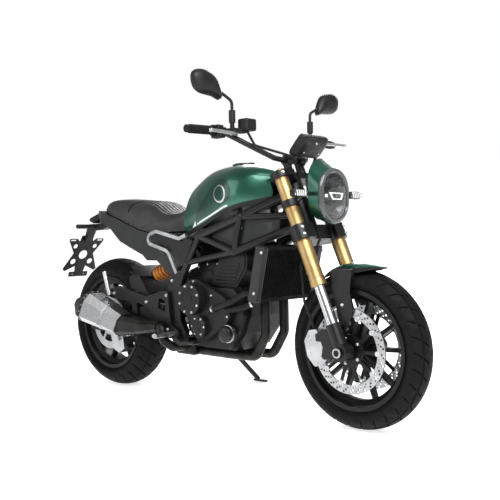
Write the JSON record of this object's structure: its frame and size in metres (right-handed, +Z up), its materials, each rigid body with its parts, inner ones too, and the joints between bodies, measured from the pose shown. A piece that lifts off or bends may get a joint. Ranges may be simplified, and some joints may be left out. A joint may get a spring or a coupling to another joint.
{
  "type": "scrambler motorcycle",
  "caption": "Road scrambler motorcycle with a trellis frame, upside-down fork, cast wheels, side silencer and side stand.",
  "frame": {"origin": "on the ground, under the middle of the machine's box as it leans on its side stand", "axes": "+X forward, +Y to the rider's left, +Z up"},
  "size_m": [2.1533, 0.9046, 1.4044],
  "materials": {
    "tyre": "matte tread rubber",
    "black_alloy": "satin black",
    "disc_steel": "ground",
    "gold_anodised": "anodised gold",
    "chrome": "polished",
    "frame_black": "satin black",
    "silver_alloy": "satin",
    "green_paint": "satin metallic green",
    "black_plastic": "matte black",
    "grey_plastic": "satin dark grey",
    "engine_grey": "dark grey paint",
    "rubber": "matte",
    "seat_cover": "grained charcoal",
    "clear_glass": "clear",
    "red_lens": "clear red",
    "dark_steel": "heat darkened",
    "bright_steel": "brushed",
    "chain_steel": "oiled"
  },
  "bodies": {
    "chassis": {"main_frame": "frame_black", "fuel_tank": "green_paint", "tank_base": "black_plastic", "seat": "seat_cover", "tail_cowl": "grey_plastic", "tail_light": "red_lens", "plate_bracket": "black_plastic", "rear_signals": "black_plastic", "crankcase": "engine_grey", "cylinders": "engine_grey", "engine_covers": "engine_grey", "chain": "chain_steel", "swingarm": "frame_black", "rear_axle": "dark_steel", "rear_hugger": "black_plastic", "shock_body": "frame_black", "shock_spring": "gold_anodised", "rear_caliper": "silver_alloy", "radiator": "frame_black", "radiator_covers": "grey_plastic", "exhaust_headers": "dark_steel", "silencer_can": "bright_steel", "silencer_caps": "dark_steel", "peg_hangers": "frame_black", "footpegs": "silver_alloy", "foot_controls": "frame_black", "coolant_hoses": "rubber", "loop_trims": "silver_alloy", "side_covers": "black_plastic"},
    "steering": {"lower_yoke": "frame_black", "upper_yoke": "frame_black", "fork_outer_tubes": "gold_anodised", "fork_inner_tubes": "chrome", "fork_bottoms": "frame_black", "front_axle": "dark_steel", "front_calipers": "silver_alloy", "front_fender": "black_plastic", "handlebar": "frame_black", "grips": "rubber", "control_clusters": "black_plastic", "levers": "silver_alloy", "lever_perches": "black_plastic", "mirrors": "black_plastic", "headlight_cowl": "green_paint", "headlight_lens": "clear_glass", "headlight_bracket": "frame_black", "turn_signals": "black_plastic", "instrument": "black_plastic", "brake_hoses": "rubber"},
    "front_wheel": {"front_tyre": "tyre", "front_wheel": "black_alloy", "front_disc_rings": "disc_steel"},
    "rear_wheel": {"rear_tyre": "tyre", "rear_wheel": "black_alloy", "rear_disc": "disc_steel", "rear_sprocket": "chain_steel"},
    "side_stand": {"side_stand": "frame_black"},
    "fuel_cap": {"fuel_cap": "frame_black"}
  },
  "joints": [
    {"name": "steering", "type": "hinge", "parent": "chassis", "child": "steering", "pos_m": [0.50714, -0.05644, 0.82803], "axis": [-0.3987, 0.1435, 0.9058], "range_deg": [-35, 35]},
    {"name": "front_wheel_spin", "type": "hinge", "parent": "steering", "child": "front_wheel", "pos_m": [0.77665, -0.14046, 0.29756], "axis": [0, 0.9877, -0.1564], "continuous": true},
    {"name": "rear_wheel_spin", "type": "hinge", "parent": "chassis", "child": "rear_wheel", "pos_m": [-0.68335, -0.13811, 0.31238], "axis": [0, 0.9877, -0.1564], "continuous": true},
    {"name": "side_stand_fold", "type": "hinge", "parent": "chassis", "child": "side_stand", "pos_m": [-0.07735, -0.01724, 0.20616], "axis": [0, 0.9534, 0.3018], "range_deg": [0, 105]},
    {"name": "fuel_cap_lift", "type": "hinge", "parent": "chassis", "child": "fuel_cap", "pos_m": [0.23465, -0.02532, 1.0245], "axis": [0, 0.9877, -0.1564], "range_deg": [0, 100]}
  ]
}
